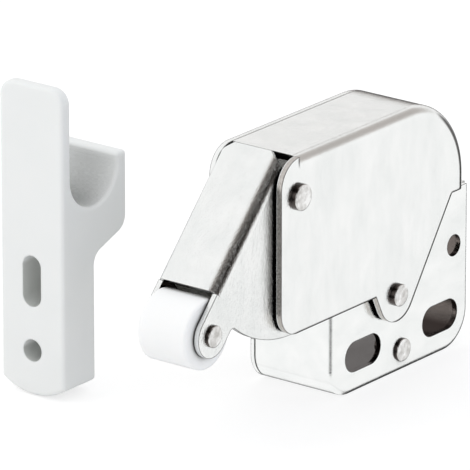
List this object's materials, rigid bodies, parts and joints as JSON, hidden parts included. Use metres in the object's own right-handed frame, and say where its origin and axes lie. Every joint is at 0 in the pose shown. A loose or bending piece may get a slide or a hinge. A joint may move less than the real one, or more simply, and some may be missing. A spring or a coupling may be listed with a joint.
{
  "type": "touch latch",
  "caption": "Roller touch latch: a sprung arm in a folded steel case on a slotted side bracket swings in and is held by a heart cam; a moulded hook strike goes on the door.",
  "frame": {"origin": "middle of the mounting bracket's foot, the flat underside of its bottom wall", "axes": "-Z out of the foot, +X out of the face with the screw slots, -Y towards the door with the roller"},
  "size_m": [0.0423, 0.0638, 0.045],
  "materials": {
    "plated_steel": "bright nickel plate on folded sheet",
    "rivet_steel": "bright nickel plate on turned steel",
    "spring_steel": "drawn spring wire",
    "white_nylon": "moulded nylon"
  },
  "bodies": {
    "bracket": {"mounting_bracket": "plated_steel", "case_shell": "plated_steel", "case_cover": "plated_steel", "case_rivet": "rivet_steel", "case_collar": "rivet_steel", "spacer_sleeve": "rivet_steel", "anchor_rivet": "rivet_steel", "arm_pin": "rivet_steel", "arm_sleeve": "rivet_steel", "arm_washer": "rivet_steel", "arm_spring": "spring_steel", "follower_spring": "spring_steel", "strike": "white_nylon"},
    "arm": {"roller_arm": "plated_steel", "heart_cam": "white_nylon", "roller_pin": "rivet_steel"},
    "roller": {"roller": "white_nylon"},
    "follower": {"follower_wire": "spring_steel"}
  },
  "joints": [
    {"name": "arm_swing", "type": "hinge", "parent": "bracket", "child": "arm", "pos_m": [0, -0.0253, 0.0329], "axis": [1, 0, 0], "range_deg": [0, 54], "stiffness_Nm_per_rad": 0.05, "springref_deg": -34.38, "deforming": ["arm_spring"]},
    {"name": "roller_spin", "type": "hinge", "parent": "arm", "child": "roller", "pos_m": [0, -0.04279, 0.01759], "axis": [1, 0, 0], "continuous": true},
    {"name": "follower_turn", "type": "hinge", "parent": "bracket", "child": "follower", "pos_m": [0, -0.00275, 0.0125], "axis": [-1, 0, 0], "range_deg": [0, 7.4], "stiffness_Nm_per_rad": 0.002, "springref_deg": -17.19, "deforming": ["follower_spring"]}
  ]
}
